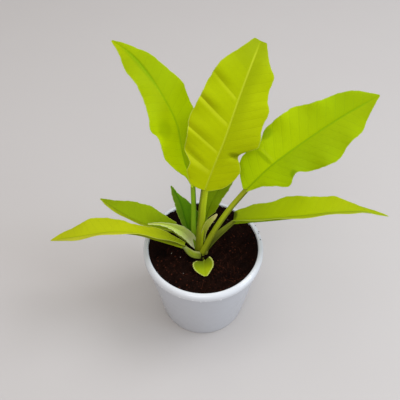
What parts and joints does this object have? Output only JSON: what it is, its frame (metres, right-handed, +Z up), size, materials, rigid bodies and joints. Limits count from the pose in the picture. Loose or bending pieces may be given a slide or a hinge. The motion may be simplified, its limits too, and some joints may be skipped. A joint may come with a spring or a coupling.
{
  "type": "potted golden saw philodendron",
  "caption": "Young potted philodendron with golden, wavy-edged blades on upright stalks, low channelled leaves and a heart-shaped baby leaf, in a white tapered plastic pot with soil.",
  "frame": {"origin": "middle of the pot's flat base, on the surface that it stands on", "axes": "+Z up; -Y toward the side the plant is looked at from; +X to the viewer's right"},
  "size_m": [0.3455, 0.1616, 0.308],
  "materials": {
    "pot": "smooth moulded white plastic, softly glossy",
    "soil": "loose damp coco and peat potting mix with reddish fibres",
    "stalk": "smooth fleshy olive-yellow leaf stalk, fine darker flecks",
    "blade_gold": "golden yellow-green leaf, soft sheen, pleated side veins",
    "blade_lime": "lime green leaf, soft sheen, fine side veins",
    "blade_green": "darker green older leaf, soft sheen",
    "sheath": "pale grey-green, thin and glossy"
  },
  "bodies": {
    "root": {"pot": "pot", "soil": "soil", "stem": "stalk", "leaf_centre_blade": "blade_gold", "leaf_centre_stalk": "stalk", "leaf_upper_left_blade": "blade_lime", "leaf_upper_left_stalk": "stalk", "leaf_upper_right_blade": "blade_lime", "leaf_upper_right_stalk": "stalk", "leaf_low_right_blade": "blade_lime", "leaf_low_right_stalk": "stalk", "leaf_low_left_blade": "blade_gold", "leaf_low_left_stalk": "stalk", "leaf_far_left_blade": "blade_green", "leaf_far_left_stalk": "stalk", "leaf_small_back_blade": "blade_green", "leaf_small_back_stalk": "stalk", "leaf_dark_back_blade": "blade_green", "leaf_dark_back_stalk": "stalk", "leaf_baby_blade": "blade_lime", "leaf_baby_stalk": "stalk", "sheath_pale": "sheath", "sheath_pink_tipped": "sheath"}
  },
  "joints": []
}
